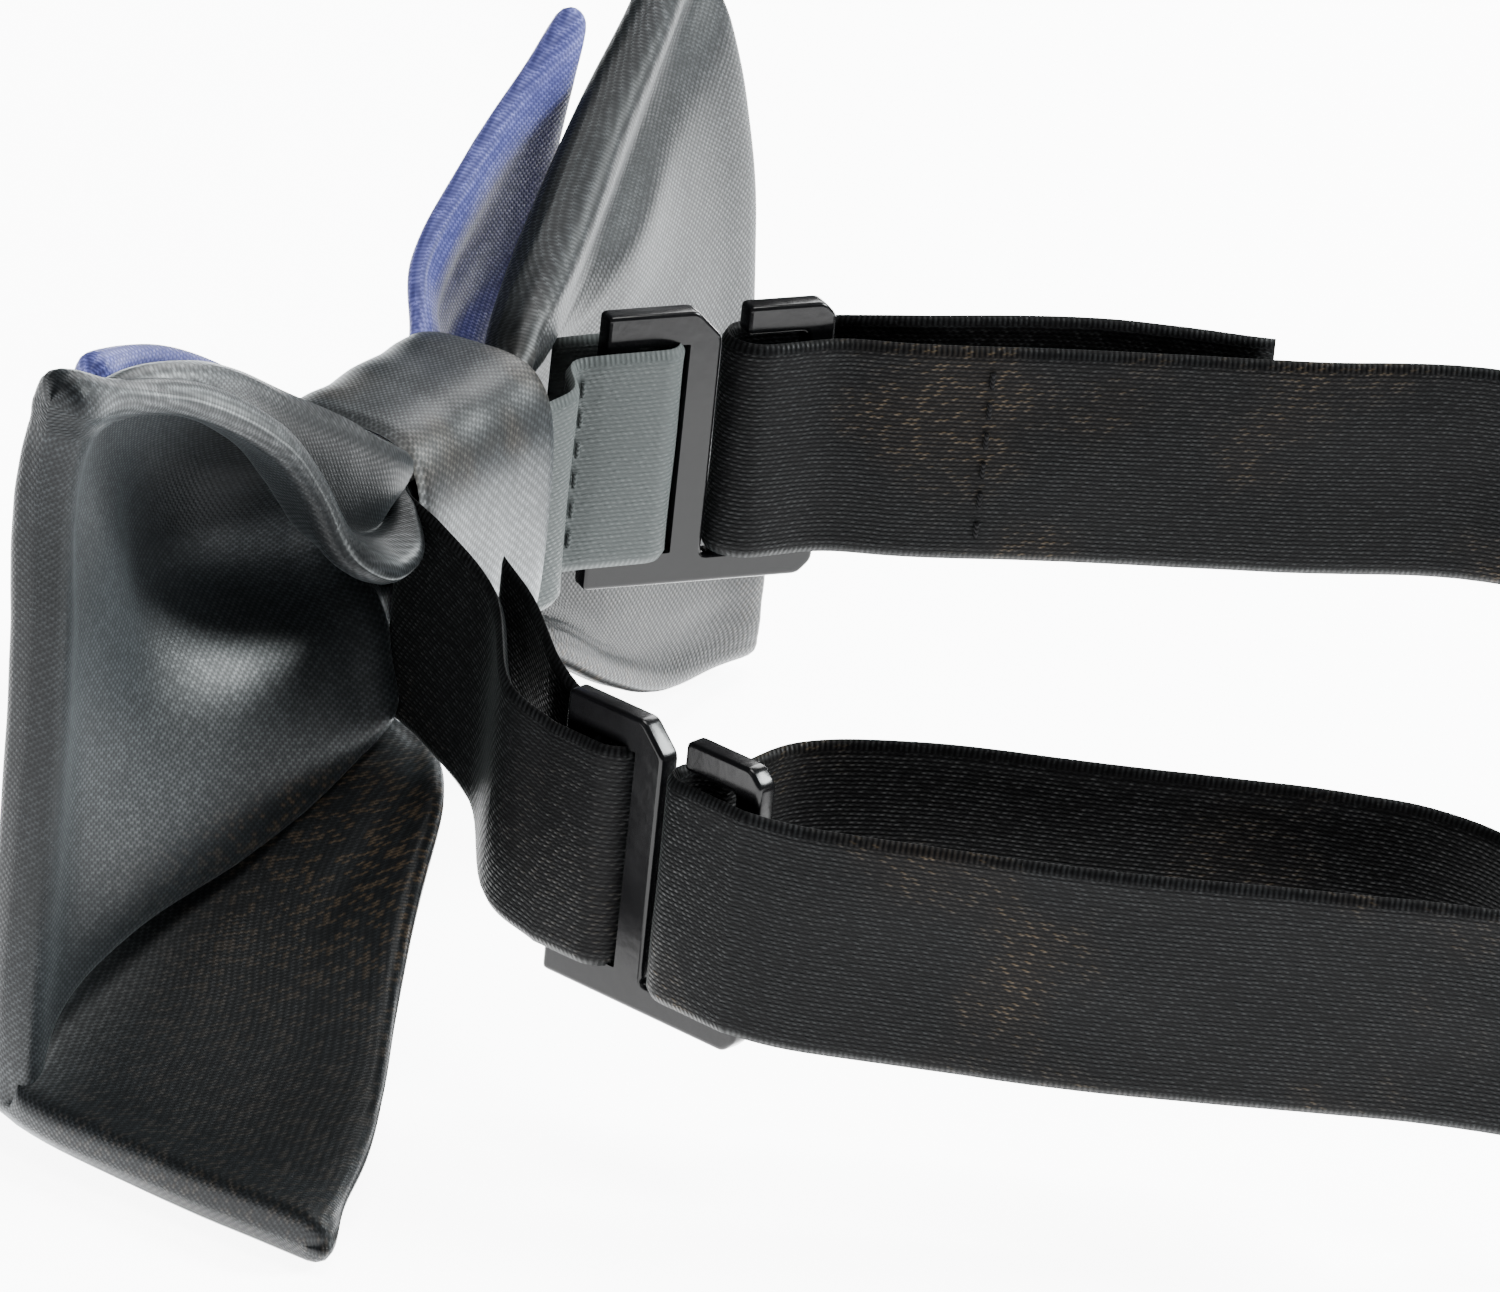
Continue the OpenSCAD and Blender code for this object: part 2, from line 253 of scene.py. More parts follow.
def sewn_tube(name, grid, thick, end_round, creases=0.0, seed=0.0):
    """A closed, soft-edged body around a folded middle surface. grid is [across, along].

    thick is its thickness at each point and end_round the roundness of its ends, in mm.
    creases is the depth of its shallow wrinkles, and seed picks their pattern.
    """
    across, along = grid.shape[:2]
    down, out = np.gradient(grid, axis=0), np.gradient(grid, axis=1)
    side = unit(np.cross(unit(down), unit(out)))
    down, out = unit(down), unit(out)
    length, width = run_length(grid, 1), run_length(grid, 0)
    length = length - length[:, [along // 2]]
    width = width - width[[across // 2], :]
    if creases:
        ripple = np.array([[noise.noise(Vector((length[i, j] * 0.028, i * 11 / across, seed)))
                            + 0.4 * noise.noise(Vector((length[i, j] * 0.09, i * 26 / across, seed + 5)))
                            for j in range(along)] for i in range(across)])
        reach = np.exp(-((np.abs(grid[..., 0]) - 14) / 17) ** 2) + 0.3
        grid = grid + side * (ripple * reach * creases)[..., None]
    corner = [radians(a) for a in (67.5, 45, 22.5)]
    rings, marks = [], []

    def ring(j, push, lose):
        half = np.maximum(thick[:, j] / 2 - lose, 0.02)[:, None]
        middle = grid[:, j] + out[:, j] * push
        top, low = middle[0], middle[-1]
        n, d = side[:, j], down[:, j]
        back, front = middle + n * half, middle - n * half
        turn_top = [top - d[0] * half[0] * sin(a) + n[0] * half[0] * cos(a) for a in (pi / 2, *corner)]
        turn_low = [low + d[-1] * half[-1] * sin(a) + n[-1] * half[-1] * cos(a)
                    for a in (*corner[::-1], pi / 2)]
        under_low = [low + d[-1] * half[-1] * sin(a) - n[-1] * half[-1] * cos(a) for a in (pi / 2, *corner)]
        under_top = [top - d[0] * half[0] * sin(a) - n[0] * half[0] * cos(a) for a in (*corner[::-1], pi / 2)]
        rings.append([*turn_top, *back, *turn_low, *under_low, *front[::-1], *under_top])
        reach = length[:, j] + (push + lose if j else -push - lose)
        over = [(reach[0], width[0, j] - half[0, 0] * (a / 1.2)) for a in (1.4, 1.2, 0.8, 0.4)]
        under = [(reach[-1], width[-1, j] + half[-1, 0] * (a / 1.2)) for a in (0.4, 0.8, 1.2, 1.4)]
        body = list(zip(reach, width[:, j]))
        marks.append([*over, *body, *under, *under[::-1], *body[::-1], *over[::-1]])

    ends = [(end_round * sin(radians(a)), end_round * (1 - cos(radians(a)))) for a in (90, 68, 45, 22)]
    full = thick.max() / 2
    ring(0, -end_round - 0.25, full)
    ring(0, -end_round - 0.2, full * 0.72)
    for push, lose in ends:
        ring(0, -push, lose)
    for j in range(along):
        ring(j, 0, 0)
    for push, lose in ends[::-1]:
        ring(along - 1, push, lose)
    ring(along - 1, end_round + 0.2, full * 0.72)
    ring(along - 1, end_round + 0.25, full)
    return skin(name, rings, marks)


def fold_grid(lines, along, across):
    """The middle surface over the named fold lines, each listed from the far end to the near end."""
    return spline([spline(line, along) for line in lines], across)


# Each fold line of the back bow: the far wing's points from its end to the
# knot, then the near wing's from the knot to its end.
back_folds = {
    "top_edge": [(-59, -18.5, 32.5), (-48, -15.5, 29), (-36, -13.3, 24), (-24, -11, 17.2), (-16, -9, 13.6),
                 (-11, -7.5, 11), (11, -3.8, 9.4), (13.4, -1, 8.4), (16.4, 1.2, 6.6), (20, 1, 6),
                 (25, -0.2, 8.8), (30, -1, 15.4), (36, -1.7, 21.6), (45, -4.6, 27), (58.5, -8, 30)],
    "gutter": [(-59.5, -18, 31.4), (-48, -14, 28.2), (-36, -11.2, 22.8), (-24, -8.6, 16.8), (-16, -6.8, 13.8),
               (-11, -5.6, 10.8), (11, -6, 10), (13.5, -3.4, 9), (17, -2.2, 8), (20.5, -2.4, 8.4),
               (26, -3.4, 11.6), (31, -3.9, 17), (37.5, -4, 22.6), (46, -6, 27.2), (58.5, -8.2, 28.6)],
    "crest": [(-60, -17.6, 29.6), (-48, -14.6, 24.6), (-36, -11.4, 18.2), (-24, -8.4, 13.4), (-16, -6, 11.4),
              (-11, -6.6, 9.4), (11, -4.4, 11), (13.5, -1.4, 12.2), (17, -1.2, 14.2), (22, -2.6, 17.2),
              (29, -4.4, 21), (36, -5.4, 25), (43, -6, 27.8), (50, -7.4, 28.8), (58.5, -8.4, 27)],
    "fore_side": [(-60, -14.8, 25), (-48, -12, 19), (-36, -9, 14), (-24, -8.8, 10.4), (-16, -7.8, 8.6),
                  (-11, -5.4, 7.4), (11, -8.4, 8.6), (14, -6.6, 10.6), (18, -6.8, 12.4), (23, -8, 14.2),
                  (30, -11.8, 15.8), (37, -13, 18), (44, -12, 20.8), (51, -10.6, 22), (58.5, -9, 20.4)],
    "hollow": [(-61, -11.8, 12), (-48, -10.2, 9.5), (-36, -9.2, 7), (-24, -10, 5.4), (-16, -9.4, 4.4),
               (-11, -6.4, 4), (11, -8.4, 4), (14, -8, 4.4), (18, -10, 4), (23, -12, 4.4),
               (30, -13.4, 5.8), (37, -13.2, 7.8), (44, -10.8, 9), (51, -9.4, 10.4), (58.5, -8.4, 11)],
    "upper_panel": [(-61, -10.3, -2), (-48, -9.4, -2), (-36, -9.6, -1), (-24, -10.2, 0), (-16, -9.6, 0),
                    (-11, -5, 0), (11, -4.6, -1), (14, -2.4, -2.4), (18, -3.6, -3.4), (23, -5, -3.8),
                    (30, -6.2, -4), (37, -7.2, -4.2), (44, -7.9, -4.6), (51, -8.2, -5), (58, -8.2, -5)],
    "lap_fold": [(-62, -9, -14), (-48, -8.8, -13), (-36, -9, -10), (-24, -9.8, -7.5), (-16, -8.8, -5.5),
                 (-11, -6.4, -4), (11, -4, -6), (14.5, -1, -9.2), (18, -2, -11.9), (23.5, -3.2, -14.5),
                 (30, -4.2, -16.1), (37, -5.5, -17.1), (43.5, -6.5, -18), (50, -7.9, -21), (56.2, -9, -27.6)],
    "lap_crease": [(-63, -8, -23), (-48, -8, -22), (-36, -8, -17.5), (-24, -8.6, -12.5), (-16, -7.2, -9.5),
                   (-11, -4.8, -7), (11, -8, -7.2), (14, -6.4, -9.8), (18, -7.4, -13), (24, -8.5, -15.8),
                   (30, -9.2, -17.8), (37, -9.6, -19.8), (44, -9.8, -22.3), (50.5, -9.8, -25.8),
                   (56, -8.6, -30)],
    "lower_panel": [(-63.5, -8.2, -28), (-48, -8.5, -26), (-36, -8, -21.5), (-24, -7.5, -15.5),
                    (-16, -7.5, -11.8), (-11, -7, -9), (11, -5.6, -9.4), (14, -2.2, -11.2),
                    (18, -1, -13.9), (24, 0.4, -17),
                    (30, 1.4, -19.8), (37, 2.5, -22.4), (44, 3.5, -25.2), (51, 4.6, -28.2), (58.5, 5.4, -31)],
    "low_edge": [(-64, -8.5, -30.5), (-48, -7.5, -28.5), (-36, -6.5, -23.8), (-24, -5.5, -17.5),
                 (-16, -5.5, -13.5), (-11, -6, -10.8), (11, -3.6, -10.6), (13, 2.6, -11.8),
                 (17, 5.6, -13.2), (24, 8.1, -16.2),
                 (30, 10.4, -19.2), (37, 13.4, -22.8), (44, 16.6, -25.8), (51, 19.2, -28.6),
                 (60.5, 21, -31.2)],
}
back_grid = fold_grid(back_folds.values(), 12, 9)
far_off = np.abs(back_grid[..., 0])
back_thick = 1.5 + 0.9 * np.clip((far_off - 11) / 12, 0, 1)
back_thick += 2.4 * np.exp(-((run_length(back_grid[:, ::-1], 1)[:, ::-1]) / 3.4) ** 2)
back_thick += 1.2 * np.exp(-(run_length(back_grid, 1) / 5) ** 2)
back_thick += 0.5 * np.exp(-(run_length(back_grid, 0) / 3) ** 2)
back_bow = sewn_tube("black_satin_bow", back_grid, back_thick, 1.3, creases=0.5, seed=3.0)


def satin(name, gap, float_low, float_high, glint, sheen_tint, shine):
    """Warp-faced satin: short shiny floats in diagonal rows, with darker gaps between.

    The sheen is full on the near wing's upper panel. It is damped on that wing's lower
    fold, end and roll, and on the far wing. As painted shade, the colour is darkened on the
    near wing's roll and the far wing's lower part. The knot's top and the lower fold get
    painted brownish glints.
    """
    finish = Finish(name, sheen_weight=0.03, sheen_roughness=0.4, sheen_tint=(*sheen_tint, 1),
                    specular_ior_level=0.06, coat_roughness=0.48, coat_tint=(*sheen_tint, 1))
    where = finish.node("ShaderNodeUVMap", {"uv_map": "cloth_mm"}, {})
    along = finish.node("ShaderNodeSeparateXYZ", {}, {0: where}, 0)
    across = finish.node("ShaderNodeSeparateXYZ", {}, {0: where}, 1)
    drift = finish.noise(where, 0.35) * 0.5
    row = (across * 0.866 - along * 0.5) / 0.5 + drift
    step = (along * 0.866 + across * 0.5) / 0.42 + row.whole() * 0.37
    floats = (row.wave() * 0.6 + 0.4) * (step.wave() * 0.7 + 0.3)
    pick = finish.node("ShaderNodeCombineXYZ", {}, {0: (row + 0.5).whole(), 1: (step + 0.5).whole()})
    chance = finish.node("ShaderNodeTexWhiteNoise", {"noise_dimensions": "2D"}, {"Vector": pick})
    broad = finish.noise(where, 0.045, 3.0)
    tone = finish.blend(finish.smooth(broad, 0.35, 0.65), float_low, float_high)
    side, back, height = (finish.node("ShaderNodeSeparateXYZ", {}, {0: finish.place()}, i) for i in range(3))
    turned = finish.smooth(back, -0.008, -0.001) * finish.smooth(0 - height, 0.01, 0.0135)
    wing = finish.smooth(side, 0.0112, 0.0125)
    rolled = finish.smooth(height, 0.006, 0.009) * (1 - finish.smooth(side, 0.03, 0.043))
    far_wing = finish.smooth(0 - side, 0.012, 0.02)
    far_low = far_wing * finish.smooth(0 - height, 0.0, 0.012)
    near_end = finish.smooth(side, 0.0555, 0.0585)
    dull = (turned * 0.8).most(near_end * 0.9).most(rolled * (wing * 0.32 + 0.55))
    dull = dull.most(far_wing * 0.8 + far_low * 0.15)
    # Painted shade: the colour is darkened towards the gap colour on the near wing's roll and on the far
    # wing's lower part.
    tone = finish.blend((rolled * wing * 0.6).most(far_low * 0.9), tone, gap)
    # Painted glint: a patch of brownish glint colour laid over the knot's top.
    on_knot = rolled * (1 - wing) * (1 - far_wing)
    painted_glint_patch = on_knot * finish.smooth(finish.noise(finish.place(), 90.0), 0.46, 0.6)
    tone = finish.blend(painted_glint_patch * 0.32, tone, glint)
    lit = floats * (chance * 0.6 + 0.5)
    cloth = finish.blend(lit, gap, tone)
    # Painted glint: brownish glints on single floats of the lower fold, strongest near the knot.
    painted_warm_glint = turned * (0.9 - finish.smooth(side, 0.018, 0.05) * 0.75) * chance.over(0.72) * floats
    finish.link(finish.blend(painted_warm_glint * 0.8, cloth, glint), finish.surface.inputs["Base Color"])
    finish.link(0.46 - floats * 0.1 + broad * 0.06, finish.surface.inputs["Roughness"])
    finish.link((1 - dull) * (0.2 + lit * 0.95) * shine, finish.surface.inputs["Coat Weight"])
    finish.bump(floats * (chance * 0.5 + 0.5) + finish.noise(where, 0.5) * 0.6, 0.00005)
    return finish.material


black_satin = satin("black_satin", (0.0014, 0.0016, 0.0018), (0.005, 0.006, 0.0068),
                    (0.0105, 0.0125, 0.0142), (0.06, 0.038, 0.018), (0.78, 0.9, 0.96), 1.0)
back_bow.data.materials.append(black_satin)
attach(back_bow, "bow")
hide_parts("back_bow")


# ---- Felt inside the back bow ----
# One pale sheet of pressed felt, cut a little smaller than the tube around it.
def felt(name):
    finish = Finish(name, roughness=0.95, sheen_weight=0.3)
    fibres = finish.noise(finish.place(), 1800.0, 4.0)
    finish.link(finish.blend(fibres, (0.6, 0.58, 0.53), (0.82, 0.8, 0.76)),
                finish.surface.inputs["Base Color"])
    finish.bump(fibres, 0.00015)
    return finish.material


pressed_felt = felt("pressed_felt")


def felt_sheet(name, grid, node):
    inside = grid[4:-4, 5:-5]
    piece = sewn_tube(name, inside, np.full(inside.shape[:2], 0.5), 0.1)
    piece.data.materials.append(pressed_felt)
    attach(piece, "bow")
    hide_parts(node)


felt_sheet("back_bow_felt", back_grid, "back_bow_interlining")

# ---- Navy front bow and its felt ----
# The smaller bow in front, of the same satin dyed navy, with its own felt.
front_folds = {
    "top_edge": [(-38, -17, 30.6), (-27, -18.6, 22), (-18, -18, 15.6), (-11, -14.2, 11.2),
                 (11, -12.8, 11.2), (18, -15, 16.8), (27, -15.8, 21.6), (36, -15.4, 24.6), (42, -14.6, 25.6)],
    "upper_hollow": [(-39, -19.2, 15), (-27, -18.8, 11), (-18, -16.4, 8), (-11, -10.8, 6),
                     (11, -10.8, 6), (18, -16, 8.4), (27, -18.4, 10.6), (36, -18.4, 12.4), (43.5, -16.8, 14)],
    "middle_fold": [(-40, -18.6, 2), (-27, -16.4, 2), (-18, -15.2, 2), (-11, -13.4, 2),
                    (11, -13.4, 2), (18, -14.6, 2), (27, -15.8, 2), (36, -16.6, 2), (44, -17, 3)],
    "lower_hollow": [(-40, -17.8, -8), (-27, -17.4, -4.6), (-18, -15, -3), (-11, -11, -2),
                     (11, -11, -2), (18, -15.6, -3), (27, -17.8, -4), (36, -17.4, -5), (44, -16, -6)],
    "lower_bulge": [(-40, -17, -18), (-27, -16.4, -12.4), (-18, -15, -9), (-11, -13.4, -7),
                    (11, -13.4, -7), (18, -16.4, -9), (27, -17.8, -12.6), (36, -17, -15.8),
                    (43.5, -15.6, -17)],
    "low_edge": [(-39, -16.8, -26.6), (-27, -15.8, -19.4), (-18, -14.2, -14.4), (-11, -11.8, -11),
                 (11, -11.8, -11), (18, -15, -14.4), (27, -16.8, -19.6), (36, -16.8, -24),
                 (42.5, -16.2, -26.6)],
}
front_grid = fold_grid(front_folds.values(), 12, 12)
front_thick = 1.4 + 0.7 * np.clip((np.abs(front_grid[..., 0]) - 11) / 10, 0, 1)
front_thick += 1.0 * np.exp(-(run_length(front_grid[:, ::-1], 1)[:, ::-1] / 4) ** 2)
front_thick += 1.0 * np.exp(-(run_length(front_grid, 1) / 4) ** 2)
front_bow = sewn_tube("navy_satin_bow", front_grid, front_thick, 1.0, creases=0.5, seed=9.0)
front_bow.data.materials.append(
    satin("navy_satin", (0.02, 0.022, 0.075), (0.08, 0.085, 0.24), (0.12, 0.13, 0.34),
          (0.14, 0.14, 0.34), (0.6, 0.65, 1.0), 0.3))
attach(front_bow, "bow")
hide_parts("front_bow")
felt_sheet("front_bow_felt", front_grid, "front_bow_interlining")


# ---- Knot: wound thread, felt and satin wrap ----
# Both bows are bound at the waist with thread. A felt strip and a folded band
# of black satin go around that, sewn shut at the underside.
knot_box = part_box("centre_wrap")
knot_mid_y = (knot_box[0][1] + knot_box[1][1]) / 2 / MM
knot_depth = (knot_box[1][1] - knot_box[0][1]) / 2 / MM
knot_half_h = (knot_box[1][2] - knot_box[0][2]) / 2 / MM
knot_half_w = (knot_box[1][0] - knot_box[0][0]) / 2 / MM


def around_waist(angle, x, inset):
    """A point on the knot's rounded, box-like outline, inset by so many mm."""
    c, s = cos(angle), sin(angle)
    swell = (abs(c) ** 3.6 + abs(s) ** 3.6) ** (-1 / 3.6)
    return (x, knot_mid_y + (knot_depth - inset) * swell * c, (knot_half_h - inset) * swell * s)


def waist_band(name, half_w, outer, inner, pleats, steps=120):
    """A band around the waist with rounded side edges and soft pleats along X."""
    rings, marks = [], []
    for k in range(steps):
        angle = 2 * pi * k / steps - pi / 2
        ring, mark = [], []
        for face, inset in ((1, outer), (-1, inner)):
            for i in range(25):
                t = -1 + 2 * i / 24
                x = half_w * face * t
                edge = max(0.0, abs(t) - 0.92) / 0.08
                curl = (outer + inner) / 2 - inset
                wander = noise.noise(Vector((x * 0.3, angle * 1.5, 2)))
                pleat = pleats * (cos(x * 0.8 + sin(angle) * 0.8) * 0.6 + wander)
                tuck = 0.25 * abs(t) ** 4 * pleats
                depth = inset + curl * edge ** 2 - pleat * (1 - edge) * 0.5 + tuck
                ring.append(around_waist(angle, x, depth))
                mark.append((x, angle * 10.5))
        rings.append(ring)
        marks.append(mark)
    return skin(name, rings, marks, closed=True)


wrap = waist_band("knot_wrap", knot_half_w, 0.15, 1.15, 0.2)
wrap.data.materials.append(black_satin)
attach(wrap, "bow")
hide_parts("centre_wrap")

knot_felt = waist_band("knot_felt", knot_half_w - 0.8, 1.5, 2.0, 0.0)
knot_felt.data.materials.append(pressed_felt)
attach(knot_felt, "bow")
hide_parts("wrap_interlining")


def thread(name, dark, light):
    """Sewing thread with its twist showing as slanting ribs."""
    finish = Finish(name, roughness=0.7, specular_ior_level=0.05)
    twist = finish.node("ShaderNodeTexWave", {"bands_direction": "DIAGONAL"},
                        {"Vector": finish.place(), "Scale": 1500.0, "Distortion": 1.0})
    finish.link(finish.blend(twist, dark, light),
                finish.surface.inputs["Base Color"])
    finish.bump(twist, 0.00008)
    return finish.material


black_thread = thread("black_thread", (0.0008, 0.0008, 0.0009), (0.006, 0.006, 0.0065))
grey_thread = thread("grey_thread", (0.02, 0.023, 0.023), (0.045, 0.05, 0.05))
turns = 5
binding_rings, binding_marks = [], []
for k in range(turns * 48 + 1):
    angle = 2 * pi * k / 48
    x = -8 + 16 * k / (turns * 48)
    ring = []
    for i in range(8):
        a = 2 * pi * i / 8
        ring.append(around_waist(angle, x + 0.25 * cos(a), 2.45 + 0.25 * sin(a)))
    binding_rings.append(ring)
    binding_marks.append([(k, i) for i in range(8)])
binding = skin("waist_binding", binding_rings, binding_marks)
binding.data.materials.append(black_thread)
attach(binding, "bow")
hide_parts("waist_thread")


# ---- Hook ribbon and neckband ----
# Stock satin ribbon with woven edges. A short length runs through the back of
# the knot and turns round each hook's bar; the long one goes round the neck
# and passes through both hooks' open slots.
def towards_hook(at, yaw, along, off, z):
    """A point of a hook: along it from its tab end, off from its middle plane."""
    c, s = cos(radians(yaw)), sin(radians(yaw))
    return (at[0] + along * c - off * s, at[1] + along * s + off * c, z)


def near(along, off, z=-9.25):
    return towards_hook((23.5, 20.8), 76, along, off, z)


def far(along, off, z=1.5):
    return towards_hook((-22.5, -3.2), 142, along, off, z)


bar_w, hook_t, tab_slot_w, band_slot_w = 2.5, 2.0, 5.4, 7.7
hook_w = 3 * bar_w + tab_slot_w + band_slot_w
slit_s = 2 * bar_w + tab_slot_w + 1.1
tab_r, band_r = 2.2, 2.6
tab_turn_s = bar_w + tab_slot_w - tab_r - 1.05


def half_turn(hook, centre, radius, start, sign):
    """Points round a bar, from start degrees through half a turn."""
    return [hook(centre + sign * radius * cos(radians(start - start / abs(start) * a)),
                 radius * sin(radians(start - start / abs(start) * a))) for a in range(0, 181, 15)]


def ribbon(name, path, wave, seed):
    """A flat strip of stock ribbon on edge, 19 mm wide, swept along its middle line."""
    path = np.array(path)
    run = np.gradient(path, axis=0)
    facing = unit(np.stack([-run[:, 1], run[:, 0], np.zeros(len(run))], axis=1))
    reach = run_length(path[None], 1)[0]
    heights = [-9.5 + 19 * i / 28 for i in range(29)]
    rings, marks = [], []
    last = len(path) - 1
    for j in range(len(path)):
        half = 0.36 if 0 < j < last else 0.12
        ring, mark = [], []
        for face in (1, -1):
            for h in (heights[::-1] if face == 1 else heights):
                rim = max(0.0, abs(h) - 8.7) / 0.8
                body = half * (1 + 0.25 * min(rim * 2, 1)) * (1 - rim ** 4) + 0.03
                ripple = noise.noise(Vector((reach[j] * 0.06, h * 0.12, seed))) * wave
                ripple += noise.noise(Vector((reach[j] * 0.25, h * 0.05, seed + 7))) * wave * 0.25
                place = path[j] + facing[j] * (face * body + ripple)
                ring.append((place[0], place[1], place[2] + h))
                mark.append((reach[j], h))
        rings.append(ring)
        marks.append(mark)
    return skin(name, rings, marks), reach[-1]


def ribbon_weave(name, pale_from, painted_glint_share):
    """Staggered floats along the ribbon, with a close-woven edge on either side.

    It is paler from pale_from mm on, and its last argument sets how much painted brownish glint lies in
    patches on it.
    """
    finish = Finish(name, sheen_weight=0.02, sheen_roughness=0.4, sheen_tint=(0.8, 0.92, 0.9, 1),
                    anisotropic=0.3, specular_ior_level=0.035)
    where = finish.node("ShaderNodeUVMap", {"uv_map": "cloth_mm"}, {})
    along = finish.node("ShaderNodeSeparateXYZ", {}, {0: where}, 0)
    across = finish.node("ShaderNodeSeparateXYZ", {}, {0: where}, 1)
    row = across / 0.38 + finish.noise(where, 0.6) * 0.5
    step = along / 0.6 + row.whole() * 0.4 + finish.noise(where, 1.1) * 0.4
    floats = row.wave() ** 0.7 * (step.wave() * 0.8 + 0.2)
    pick = finish.node("ShaderNodeCombineXYZ", {}, {0: (row + 0.5).whole(), 1: (step + 0.5).whole()})
    chance = finish.node("ShaderNodeTexWhiteNoise", {"noise_dimensions": "2D"}, {"Vector": pick})
    broad = finish.noise(where, 0.05, 3.0)
    edge = finish.smooth(finish.node("ShaderNodeMath", {"operation": "ABSOLUTE"}, {0: across}), 8.6, 8.9)
    ribs = (along / 0.45).wave() * edge
    lit = (floats * (1 - edge) + ribs * 0.7) * (chance * 0.8 + 0.4)
    cloth = finish.blend(lit, (0.0004, 0.0004, 0.0005), (0.0078, 0.0083, 0.0087))
    pale = finish.smooth(along, pale_from, pale_from + 12)
    cloth = finish.blend(pale, cloth, finish.blend(lit, (0.036, 0.04, 0.04), (0.05, 0.056, 0.056)))
    # Painted glint: in patches the shiny floats are tinted brown, and single floats get brownish sparkles.
    painted_glint_patches = finish.smooth(broad, 0.5, 0.66) * painted_glint_share
    cloth = finish.blend(painted_glint_patches * 0.5 * lit, cloth, (0.016, 0.011, 0.007))
    glint = chance.over(0.75) * floats ** 2.0 * painted_glint_patches * 0.38
    finish.link(finish.blend(glint, cloth, (0.1, 0.072, 0.042)), finish.surface.inputs["Base Color"])
    finish.link(0.52 - lit * 0.22, finish.surface.inputs["Roughness"])
    finish.bump(lit, 0.00006)
    return finish.material


past_its_end, at_far_tab = 1000, 62
black_ribbon = ribbon_weave("black_ribbon", past_its_end, 1.0)
tab_weave = ribbon_weave("tab_ribbon", at_far_tab, 0.15)
inside_y = -2.1
tab_path = np.concatenate([
    spline([(13.6, 8.2, -2.4), (16.2, 12.6, -4), near(-4, tab_r + 0.2, -6.6), near(0, tab_r, -8.8)], 8)[:-1],
    half_turn(near, tab_turn_s, tab_r, 90, 1),
    spline([near(0, -tab_r), near(-5, -tab_r, -7.75), (17.5, 9.6, -3.6), (14.6, 3, -0.8),
            (11.6, inside_y, 0), (8, inside_y, 0)], 8),
    spline([(-8, inside_y, 0), (-11.6, inside_y, 0), (-15, inside_y + 0.5, 0.4),
            far(-3.5, -tab_r, 1.1), far(0, -tab_r)], 8)[:-1],
    half_turn(far, tab_turn_s, tab_r, -90, 1),
    [far(0, tab_r), far(-3.5, tab_r - 0.3)],
])
hook_ribbon, hook_ribbon_run = ribbon("hook_tab_ribbon", tab_path, 0.12, 1.0)
hook_ribbon.data.materials.append(tab_weave)
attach(hook_ribbon, "bow")
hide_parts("hook_ribbon")

near_inner = [(1.2, 97.2, -10), (-4.8, 91, -9.5), (-4.9, 83.5, -8.8), (-1.6, 76, -8.2),
              (6.4, 59, -8), (11.8, 46, -8.2), (17.2, 37.5, -8.8)]
near_outer = [(29.2, 44, -10), (24.4, 55, -10.4), (19.8, 66, -10.5), (12.6, 80, -10.5), (4.6, 94, -11)]
rear_run = [(-5, 108, -14), (-17, 121.5, -19), (-34, 131, -23.4), (-54, 133.5, -23.4),
            (-71, 126, -22.4), (-81.5, 110, -16), (-84, 92, -9), (-78.5, 74, -2)]
far_inner = [(-69.3, 57.2, 1.3), (-58.9, 43.2, 1.5), (-48.9, 28.4, 1.5), (-40.5, 17, 1.5)]
far_tail = [(-42.8, 14.2, 2.6), (-52.6, 26.8, 2.8), (-60.6, 39.6, 2)]
band_path = np.concatenate([
    spline([*near_inner, near(slit_s + band_r, band_r)], 8)[:-1],
    half_turn(near, slit_s + band_r, band_r, 90, -1),
    spline([near(hook_w, -band_r), *near_outer, *rear_run, *far_inner,
            far(hook_w, -band_r), far(slit_s + band_r, -band_r)], 8)[:-1],
    half_turn(far, slit_s + band_r, band_r, -90, -1),
    spline([far(hook_w, band_r), *far_tail], 8),
])
neck_band, neck_band_run = ribbon("neckband_ribbon", band_path, 0.3, 4.0)
neck_band.data.materials.append(black_ribbon)
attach(neck_band, "band")
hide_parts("neck_band")


# ---- Hooks ----
# Glossy black moulded plastic with softened edges and cut corners: a closed
# slot for the sewn tab, and one opened at the top for the neckband.
def moulded_plastic(name):
    finish = Finish(name, specular_ior_level=0.13, coat_roughness=0.1)
    flow = finish.noise(finish.place(), 220.0, 3.0)
    finish.link(finish.blend(flow, (0.0008, 0.0008, 0.0009), (0.0025, 0.0026, 0.003)),
                finish.surface.inputs["Base Color"])
    finish.link(0.16 + flow * 0.12, finish.surface.inputs["Roughness"])
    finish.bump(finish.noise(finish.place(), 900.0, 2.0), 0.00002)
    finish.surface.inputs["Coat Weight"].default_value = 0.03
    return finish.material


hook_plastic = moulded_plastic("hook_plastic")
hook_h, corner_cut, soft_edge = 24.3, 2.4, 0.35


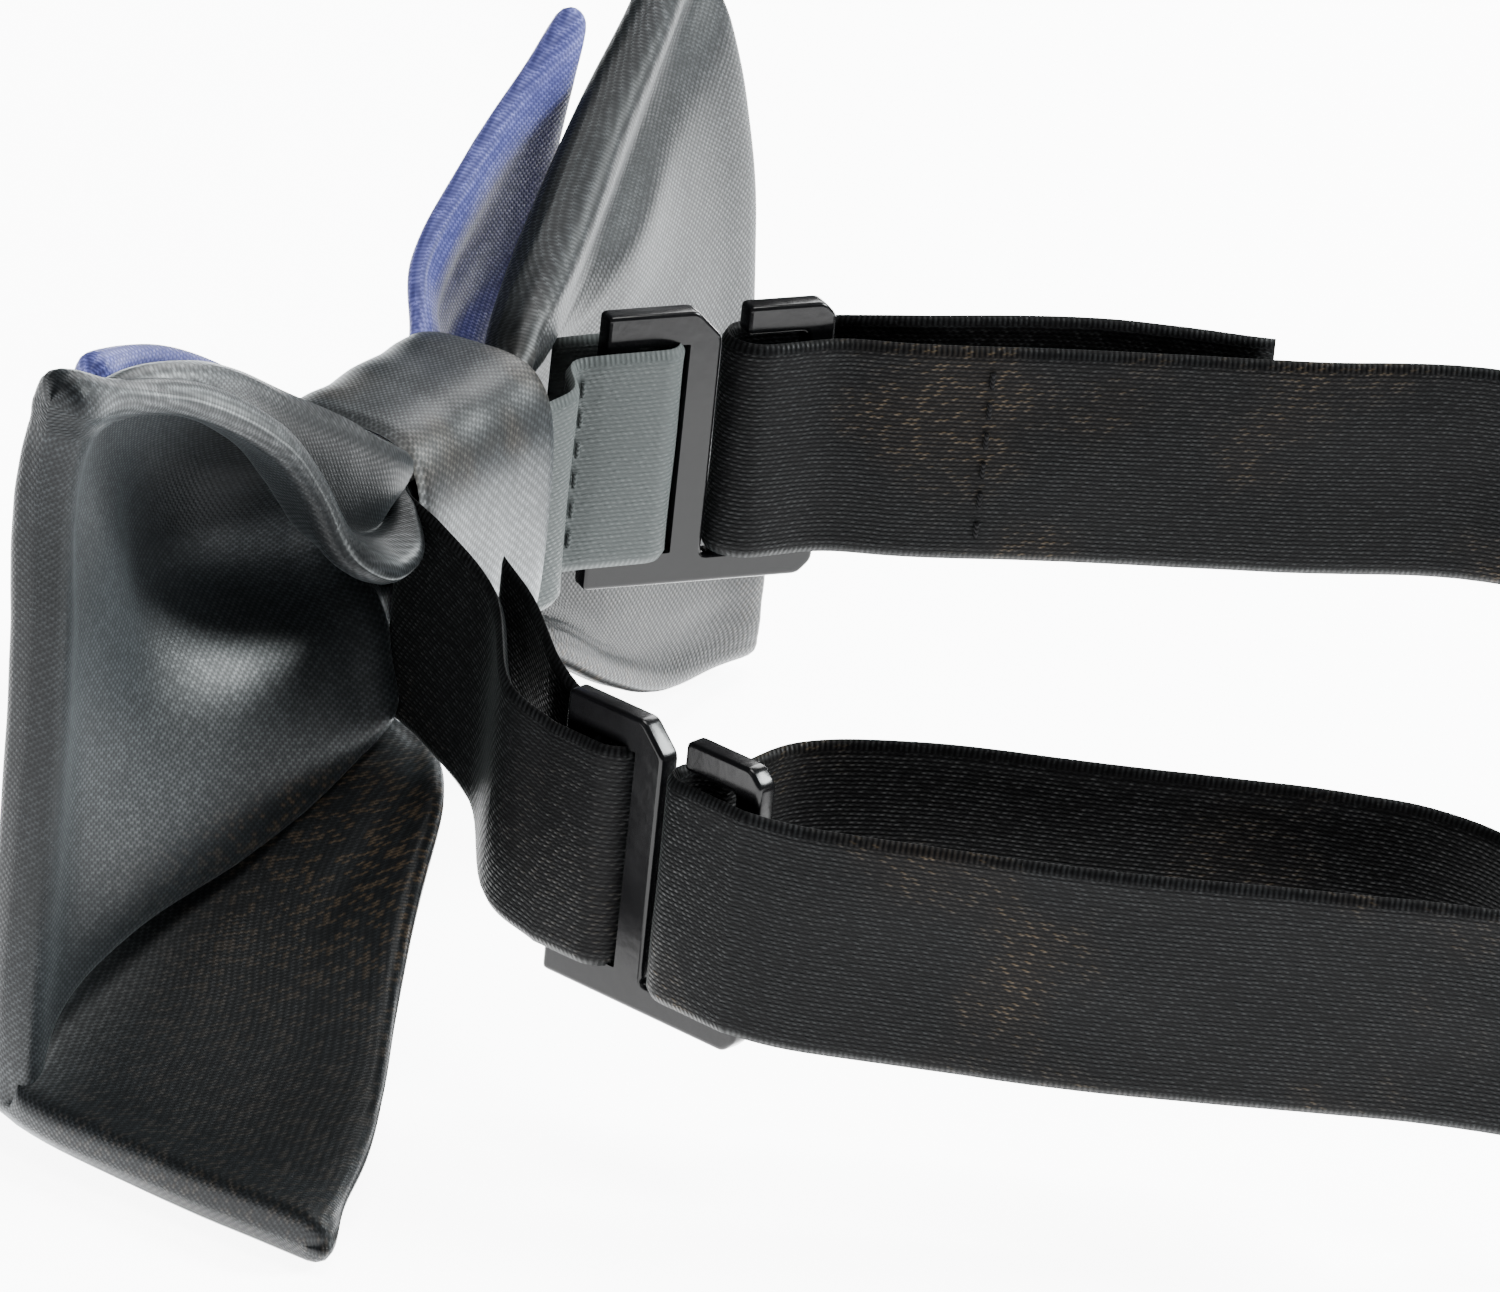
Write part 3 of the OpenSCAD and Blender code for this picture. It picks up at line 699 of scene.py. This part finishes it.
def hook(name, place, yaw, node):
    """The hook's flat outline with its two slots, softened all round."""
    hb, inner_h = hook_h / 2, hook_h / 2 - bar_w
    slot_s, tab_s = 2 * bar_w + tab_slot_w, bar_w
    cut = corner_cut
    outline = [(0, -hb), (hook_w - cut / 2, -hb), (hook_w, -hb + cut / 2), (hook_w, hb - cut / 2),
               (hook_w - cut / 2, hb), (slot_s + 2.2, hb), (slot_s + 2.2, inner_h),
               (slot_s + band_slot_w, inner_h), (slot_s + band_slot_w, -inner_h), (slot_s, -inner_h),
               (slot_s, hb - cut), (slot_s - cut, hb), (0, hb)]
    tab_slot = [(tab_s, -inner_h), (tab_s, inner_h),
                (tab_s + tab_slot_w, inner_h), (tab_s + tab_slot_w, -inner_h)]
    data = bpy.data.curves.new(name, "CURVE")
    data.dimensions, data.fill_mode = "2D", "BOTH"
    for corners in (outline, tab_slot):
        line = data.splines.new("POLY")
        rounded = []
        for i, corner in enumerate(corners):
            before, here = Vector(corners[i - 1]), Vector(corner)
            after = Vector(corners[(i + 1) % len(corners)])
            r = min(0.5, (before - here).length / 3, (after - here).length / 3)
            a, b = here + (before - here).normalized() * r, here + (after - here).normalized() * r
            rounded += [a.lerp(here, t).lerp(here.lerp(b, t), t) for t in (0, 0.33, 0.67, 1)]
        line.points.add(len(rounded) - 1)
        for point, at in zip(line.points, rounded):
            point.co = (at.x * MM, at.y * MM, 0, 1)
        line.use_cyclic_u = True
    data.extrude = (hook_t / 2 - soft_edge) * MM
    data.bevel_depth, data.bevel_resolution, data.offset = soft_edge * MM, 3, -soft_edge * MM
    shape = bpy.data.objects.new(name + "_outline", data)
    bpy.context.collection.objects.link(shape)
    mesh = bpy.data.meshes.new_from_object(shape.evaluated_get(bpy.context.evaluated_depsgraph_get()))
    bpy.data.objects.remove(shape)
    mesh.transform(Matrix.Translation(Vector(place) * MM) @ Matrix.Rotation(radians(yaw), 4, "Z")
                   @ Matrix.Rotation(radians(90), 4, "X"))
    mesh.materials.clear()
    mesh.materials.append(hook_plastic)
    mesh.shade_smooth()
    piece = bpy.data.objects.new(name, mesh)
    bpy.context.collection.objects.link(piece)
    bpy.context.view_layer.objects.active = piece
    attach(piece, node)
    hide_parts(node)


hook("near_hook_moulding", (23.5, 20.8, -9.25), 76, "near_hook")
hook("far_hook_moulding", (-22.5, -3.2, 1.5), 142, "far_hook")

# ---- Stitches ----
# Short stitches that close the wrap, both hook tabs and the neckband's loops;
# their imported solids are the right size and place. The far tab's thread is
# grey, like the paler ribbon there.
for node in ("wrap_stitches", "near_tab_stitches", "far_tab_stitches",
             "near_loop_stitches", "band_seam_stitches", "far_loop_stitches"):
    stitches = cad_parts[node]
    stitches.data.materials.clear()
    stitches.data.materials.append(grey_thread if node == "far_tab_stitches" else black_thread)
